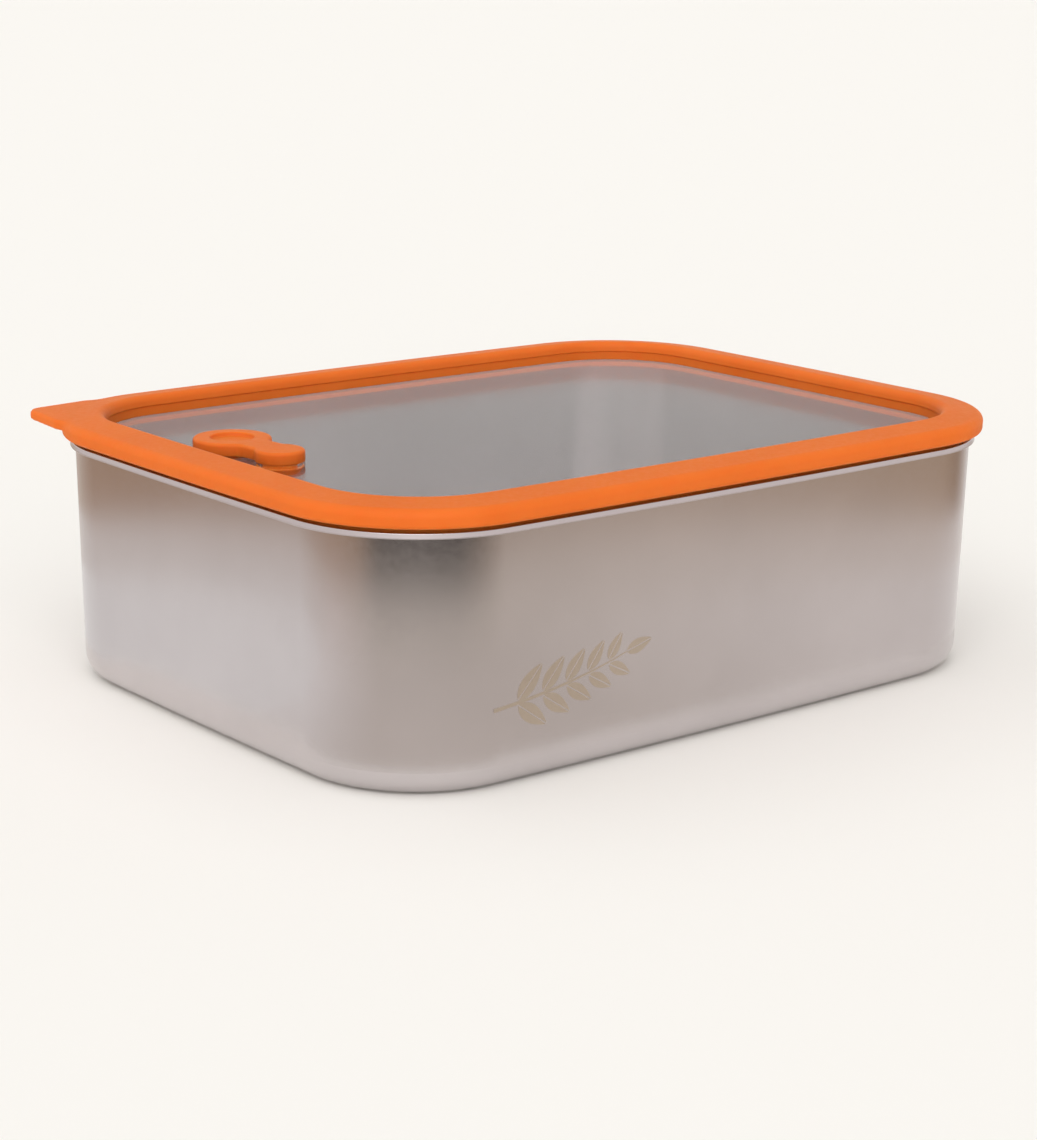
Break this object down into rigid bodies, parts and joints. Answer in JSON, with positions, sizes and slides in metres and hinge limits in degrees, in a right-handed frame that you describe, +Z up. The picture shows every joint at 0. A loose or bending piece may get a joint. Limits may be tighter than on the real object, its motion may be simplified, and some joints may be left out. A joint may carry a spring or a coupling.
{
  "type": "lunch box",
  "caption": "Rectangular steel lunch box with round corners, a clear lid panel in a soft sealing frame, a corner pull tab and a flip-up vent plug.",
  "frame": {"origin": "centre of the tub's base, on its underside", "axes": "+X along the long sides, +Y towards the long side away from the marked one, +Z up"},
  "size_m": [0.204, 0.1562, 0.0653],
  "materials": {
    "steel": "fine satin",
    "clear_panel": "clear, faintly hazed",
    "silicone": "soft satin"
  },
  "bodies": {
    "tub": {"tub": "steel"},
    "lid": {"lid_panel": "clear_panel", "seal_frame": "silicone", "vent_anchor": "silicone"},
    "tab": {"pull_tab": "silicone"},
    "vent": {"vent_flap": "silicone"}
  },
  "joints": [
    {"name": "lid_lift", "type": "slide", "parent": "tub", "child": "lid", "axis": [0, 0, 1], "range_m": [0, 0.1]},
    {"name": "tab_flex", "type": "hinge", "parent": "lid", "child": "tab", "pos_m": [-0.09206, 0.06777, 0.0643], "axis": [0.7071, 0.7071, 0], "range_deg": [0, 60], "stiffness_Nm_per_rad": 0.012},
    {"name": "vent_flip", "type": "hinge", "parent": "lid", "child": "vent", "pos_m": [-0.07299, 0.00923, 0.0633], "axis": [0.9974, 0.072, 0], "range_deg": [0, 110], "stiffness_Nm_per_rad": 0.004}
  ]
}
